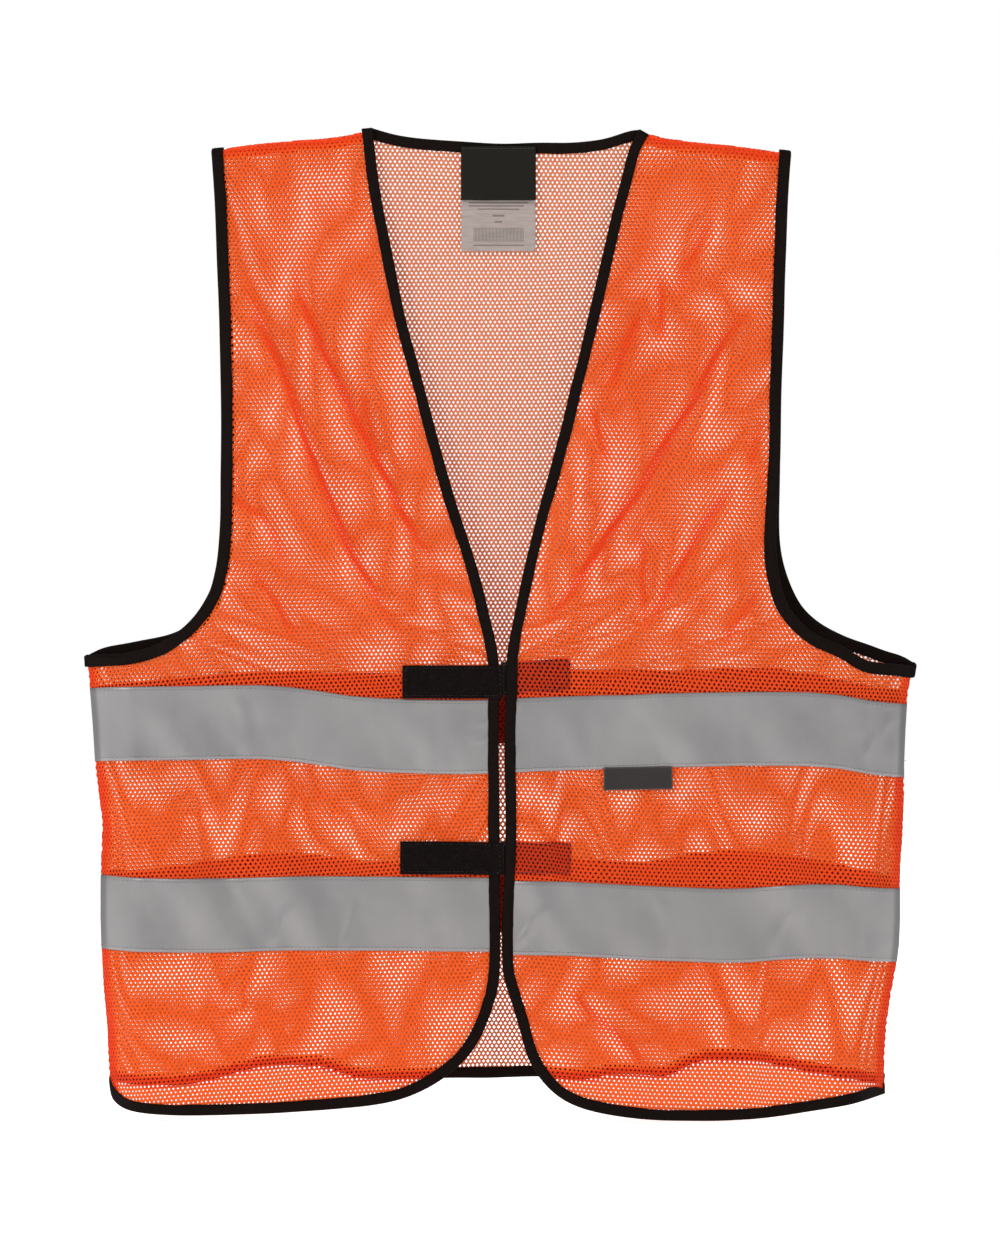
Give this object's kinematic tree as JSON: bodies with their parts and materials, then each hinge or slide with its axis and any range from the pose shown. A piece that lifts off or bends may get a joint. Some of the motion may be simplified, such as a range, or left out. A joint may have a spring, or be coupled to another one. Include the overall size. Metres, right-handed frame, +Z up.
{
  "type": "high visibility vest",
  "caption": "Sleeveless V-neck mesh safety vest in fluorescent orange with grey reflective bands, black edge binding and a hook and loop front.",
  "frame": {"origin": "centre of the bounding box in plan, at the lowest point of the front hem", "axes": "+Z up from the hem to the shoulders, +X to the wearer's left, -Y out of the chest and +Y out of the back"},
  "size_m": [0.5656, 0.0398, 0.6759],
  "materials": {
    "mesh_orange": "fluorescent orange warp-knit mesh, 120 g/m2 polyester",
    "tape_silver": "silver-grey glass bead retroreflective tape, satin",
    "binding_black": "black woven polyester edge binding",
    "loop_black": "black brushed loop pile",
    "hook_black": "black moulded hook strip",
    "label_black": "black satin woven label",
    "label_grey": "off-white printed satin label",
    "tab_charcoal": "charcoal woven label",
    "thread_grey": "grey polyester thread",
    "thread_black": "black polyester thread",
    "seam_orange": "overlocked double seam allowance"
  },
  "bodies": {
    "vest_back": {"back_panel": "mesh_orange", "back_neck_binding": "binding_black", "back_hem_binding": "binding_black", "upper_tape_back": "tape_silver", "lower_tape_back": "tape_silver", "tape_stitching_back": "thread_grey", "side_panel_right": "mesh_orange", "upper_tape_side_right": "tape_silver", "lower_tape_side_right": "tape_silver", "tape_stitching_side_right": "thread_grey", "front_binding_ends_right": "binding_black", "armhole_binding_right": "binding_black", "shoulder_seam_right": "seam_orange", "side_seam_right": "seam_orange", "side_panel_left": "mesh_orange", "upper_tape_side_left": "tape_silver", "lower_tape_side_left": "tape_silver", "tape_stitching_side_left": "thread_grey", "front_binding_ends_left": "binding_black", "armhole_binding_left": "binding_black", "shoulder_seam_left": "seam_orange", "side_seam_left": "seam_orange"},
    "front_right": {"front_panel_right": "mesh_orange", "upper_tape_right": "tape_silver", "lower_tape_right": "tape_silver", "tape_stitching_right": "thread_grey", "front_binding_right": "binding_black", "upper_loop_strip": "loop_black", "lower_loop_strip": "loop_black", "loop_strip_stitching": "thread_black"},
    "front_left": {"front_panel_left": "mesh_orange", "upper_tape_left": "tape_silver", "lower_tape_left": "tape_silver", "tape_stitching_left": "thread_grey", "front_binding_left": "binding_black", "upper_hook_strip": "hook_black", "lower_hook_strip": "hook_black", "hook_strip_stitching": "thread_black"},
    "chest_label": {"chest_label": "tab_charcoal"},
    "care_label": {"care_label": "label_grey"},
    "brand_label": {"brand_label": "label_black", "label_stitching": "thread_black"}
  },
  "joints": [
    {"name": "front_right_open", "type": "hinge", "parent": "vest_back", "child": "front_right", "pos_m": [-0.158, -0.00244, 0.32505], "axis": [-0.2232, -0.036, -0.9741], "range_deg": [0, 150]},
    {"name": "front_left_open", "type": "hinge", "parent": "vest_back", "child": "front_left", "pos_m": [0.158, -0.00244, 0.32505], "axis": [-0.2232, 0.036, 0.9741], "range_deg": [0, 150]},
    {"name": "care_label_lift", "type": "hinge", "parent": "vest_back", "child": "care_label", "pos_m": [-0.00235, 0.0153, 0.6604], "axis": [-1, 0, 0], "range_deg": [0, 75]},
    {"name": "brand_label_lift", "type": "hinge", "parent": "care_label", "child": "brand_label", "pos_m": [-0.00235, 0.0153, 0.6604], "axis": [-1, 0, 0], "range_deg": [0, 80]},
    {"name": "chest_label_lift", "type": "hinge", "parent": "front_left", "child": "chest_label", "pos_m": [0.09275, -0.00918, 0.2381], "axis": [-0.9985, -0.0552, 0], "range_deg": [0, 160]}
  ]
}
